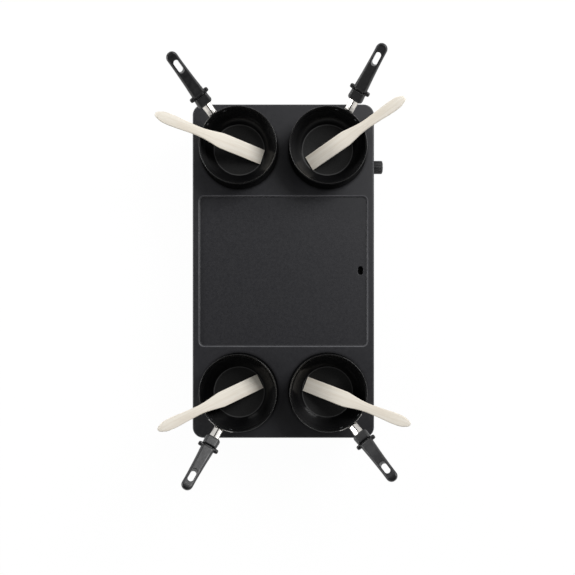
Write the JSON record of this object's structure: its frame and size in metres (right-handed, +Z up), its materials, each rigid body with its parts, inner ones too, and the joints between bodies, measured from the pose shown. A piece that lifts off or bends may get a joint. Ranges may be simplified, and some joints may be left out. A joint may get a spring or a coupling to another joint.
{
  "type": "electric table grill",
  "caption": "Long electric table grill: flat coated plate over a moulded base, round pans with raised grips, wooden spatulas, side dial, drain hole and grease tray.",
  "frame": {"origin": "on the table, under the middle of the grill plate", "axes": "+X towards the side with the control knob, +Y towards the rear end, +Z up"},
  "size_m": [0.3663, 0.6264, 0.1844],
  "materials": {
    "coated_plate": "dark satin non-stick coat, finely speckled",
    "coated_pan": "black glossy non-stick coat",
    "black_plastic": "fine matte grain",
    "bakelite": "smooth, half matt",
    "steel": "polished along the length",
    "sheet_steel": "plain sheet",
    "element_sheath": "dull, heat darkened",
    "rubber": "matte",
    "wood": "pale close-grained, unvarnished",
    "lens": "clear red",
    "lamp": "clear glass",
    "brass": "turned, unpolished"
  },
  "bodies": {
    "base": {"grill_plate": "coated_plate", "base_housing": "black_plastic", "bottom_cover": "black_plastic", "foot_front_left": "rubber", "clamp_screw_front_left": "steel", "foot_front_right": "rubber", "clamp_screw_front_right": "steel", "foot_rear_left": "rubber", "clamp_screw_rear_left": "steel", "foot_rear_right": "rubber", "clamp_screw_rear_right": "steel", "heating_element": "element_sheath", "element_clamp_front": "sheet_steel", "element_clamp_rear": "sheet_steel", "thermal_fuse": "brass", "heat_reflector": "sheet_steel", "thermostat": "bakelite", "thermostat_nut": "brass", "pilot_lens": "lens", "pilot_lamp": "lamp", "appliance_inlet": "bakelite", "inlet_pin_line": "brass", "inlet_pin_neutral": "brass", "inlet_pin_earth": "brass", "tray_guide": "sheet_steel"},
    "knob": {"control_knob": "black_plastic", "thermostat_shaft": "brass"},
    "grease_tray": {"grease_tray": "sheet_steel"},
    "pan_rear_left": {"pan_rear_left": "coated_pan", "pan_rear_left_bracket": "steel", "pan_rear_left_ferrule": "steel", "pan_rear_left_grip": "bakelite", "pan_rear_left_tie_screw": "steel", "pan_rear_left_rivet_right": "steel", "pan_rear_left_rivet_left": "steel"},
    "spatula_rear_left": {"spatula_rear_left": "wood"},
    "pan_rear_right": {"pan_rear_right": "coated_pan", "pan_rear_right_bracket": "steel", "pan_rear_right_ferrule": "steel", "pan_rear_right_grip": "bakelite", "pan_rear_right_tie_screw": "steel", "pan_rear_right_rivet_right": "steel", "pan_rear_right_rivet_left": "steel"},
    "spatula_rear_right": {"spatula_rear_right": "wood"},
    "pan_front_left": {"pan_front_left": "coated_pan", "pan_front_left_bracket": "steel", "pan_front_left_ferrule": "steel", "pan_front_left_grip": "bakelite", "pan_front_left_tie_screw": "steel", "pan_front_left_rivet_right": "steel", "pan_front_left_rivet_left": "steel"},
    "spatula_front_left": {"spatula_front_left": "wood"},
    "pan_front_right": {"pan_front_right": "coated_pan", "pan_front_right_bracket": "steel", "pan_front_right_ferrule": "steel", "pan_front_right_grip": "bakelite", "pan_front_right_tie_screw": "steel", "pan_front_right_rivet_right": "steel", "pan_front_right_rivet_left": "steel"},
    "spatula_front_right": {"spatula_front_right": "wood"}
  },
  "joints": [
    {"name": "knob_turn", "type": "hinge", "parent": "base", "child": "knob", "pos_m": [0.1286, 0.164, 0.045], "axis": [1, 0, 0], "range_deg": [-270, 0]},
    {"name": "grease_tray_slide", "type": "slide", "parent": "base", "child": "grease_tray", "axis": [1, 0, 0], "range_m": [0, 0.105]},
    {"name": "pan_rear_left_lift", "type": "slide", "parent": "base", "child": "pan_rear_left", "axis": [0, 0, 1], "range_m": [0, 0.12]},
    {"name": "spatula_rear_left_lift", "type": "slide", "parent": "pan_rear_left", "child": "spatula_rear_left", "axis": [0, 0, 1], "range_m": [0, 0.08]},
    {"name": "pan_rear_right_lift", "type": "slide", "parent": "base", "child": "pan_rear_right", "axis": [0, 0, 1], "range_m": [0, 0.12]},
    {"name": "spatula_rear_right_lift", "type": "slide", "parent": "pan_rear_right", "child": "spatula_rear_right", "axis": [0, 0, 1], "range_m": [0, 0.08]},
    {"name": "pan_front_left_lift", "type": "slide", "parent": "base", "child": "pan_front_left", "axis": [0, 0, 1], "range_m": [0, 0.12]},
    {"name": "spatula_front_left_lift", "type": "slide", "parent": "pan_front_left", "child": "spatula_front_left", "axis": [0, 0, 1], "range_m": [0, 0.08]},
    {"name": "pan_front_right_lift", "type": "slide", "parent": "base", "child": "pan_front_right", "axis": [0, 0, 1], "range_m": [0, 0.12]},
    {"name": "spatula_front_right_lift", "type": "slide", "parent": "pan_front_right", "child": "spatula_front_right", "axis": [0, 0, 1], "range_m": [0, 0.08]}
  ]
}
